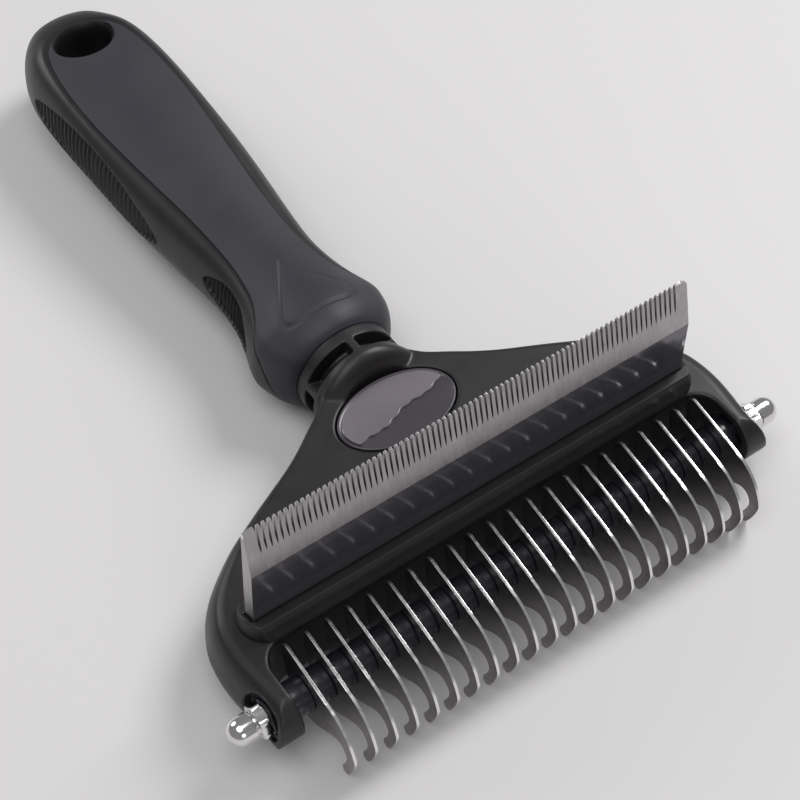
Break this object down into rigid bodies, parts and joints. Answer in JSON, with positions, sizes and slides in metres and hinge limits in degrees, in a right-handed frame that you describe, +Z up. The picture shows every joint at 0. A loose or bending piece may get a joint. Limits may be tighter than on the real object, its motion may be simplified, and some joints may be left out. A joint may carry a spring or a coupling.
{
  "type": "dematting comb",
  "caption": "Two-sided pet dematting comb: curved rake blades on an axle under a straight fine-toothed shedding blade, on a wide yoke head with a soft-skinned handle",
  "frame": {"origin": "on the surface that the comb lies on, under the middle of its box", "axes": "+X along the rake's axle, +Y back along the handle, +Z up, out of the face with the badge"},
  "size_m": [0.1406, 0.208, 0.0491],
  "materials": {
    "steel": "brushed stainless steel, the rake blades' edges and the shedding blade's lower band polished",
    "chrome": "bright nickel plating",
    "zinc": "plain zinc-plated steel",
    "black_plastic": "black moulded plastic with a fine satin texture",
    "gloss_black": "glossy black moulded plastic",
    "slate_rubber": "slate grey soft-touch skin, matt with a faint sheen",
    "badge_grey": "smooth grey inlay under a clear film"
  },
  "bodies": {
    "root": {"handle_core": "black_plastic", "handle_skin": "slate_rubber", "head_body": "black_plastic", "blade_holder": "black_plastic", "shedding_blade": "steel", "badge": "badge_grey", "axle": "zinc", "holder_screw_left": "zinc", "holder_screw_right": "zinc", "rake_blade_01": "steel", "rake_blade_02": "steel", "rake_blade_03": "steel", "rake_blade_04": "steel", "rake_blade_05": "steel", "rake_blade_06": "steel", "rake_blade_07": "steel", "rake_blade_08": "steel", "rake_blade_09": "steel", "rake_blade_10": "steel", "rake_blade_11": "steel", "rake_blade_12": "steel", "rake_blade_13": "steel", "rake_blade_14": "steel", "rake_blade_15": "steel", "rake_blade_16": "steel", "rake_blade_17": "steel", "rake_blade_18": "steel", "rake_blade_19": "steel", "rake_blade_20": "steel", "rake_blade_21": "steel", "rake_blade_22": "steel", "spacer_01": "gloss_black", "spacer_02": "gloss_black", "spacer_03": "gloss_black", "spacer_04": "gloss_black", "spacer_05": "gloss_black", "spacer_06": "gloss_black", "spacer_07": "gloss_black", "spacer_08": "gloss_black", "spacer_09": "gloss_black", "spacer_10": "gloss_black", "spacer_11": "gloss_black", "spacer_12": "gloss_black", "spacer_13": "gloss_black", "spacer_14": "gloss_black", "spacer_15": "gloss_black", "spacer_16": "gloss_black", "spacer_17": "gloss_black", "spacer_18": "gloss_black", "spacer_19": "gloss_black", "spacer_20": "gloss_black", "spacer_21": "gloss_black", "spacer_22": "gloss_black", "spacer_23": "gloss_black"},
    "washer_left": {"washer_left": "gloss_black"},
    "cap_nut_left": {"cap_nut_left": "chrome"},
    "washer_right": {"washer_right": "gloss_black"},
    "cap_nut_right": {"cap_nut_right": "chrome"}
  },
  "joints": [
    {"name": "washer_left_slide", "type": "slide", "parent": "root", "child": "washer_left", "axis": [-1, 0, 0], "range_m": [0, 0.0056]},
    {"name": "cap_nut_left_spin", "type": "hinge", "parent": "washer_left", "child": "cap_nut_left", "pos_m": [-0.065, -0.08695, 0.0124], "axis": [-1, 0, 0], "range_deg": [0, 2880]},
    {"name": "washer_right_slide", "type": "slide", "parent": "root", "child": "washer_right", "axis": [1, 0, 0], "range_m": [0, 0.0056]},
    {"name": "cap_nut_right_spin", "type": "hinge", "parent": "washer_right", "child": "cap_nut_right", "pos_m": [0.065, -0.08695, 0.0124], "axis": [1, 0, 0], "range_deg": [0, 2880]}
  ],
  "couplings": [
    {"joint": "cap_nut_left_spin", "follows": "washer_left_slide", "rad_per_m": 8976},
    {"joint": "cap_nut_right_spin", "follows": "washer_right_slide", "rad_per_m": 8976}
  ]
}
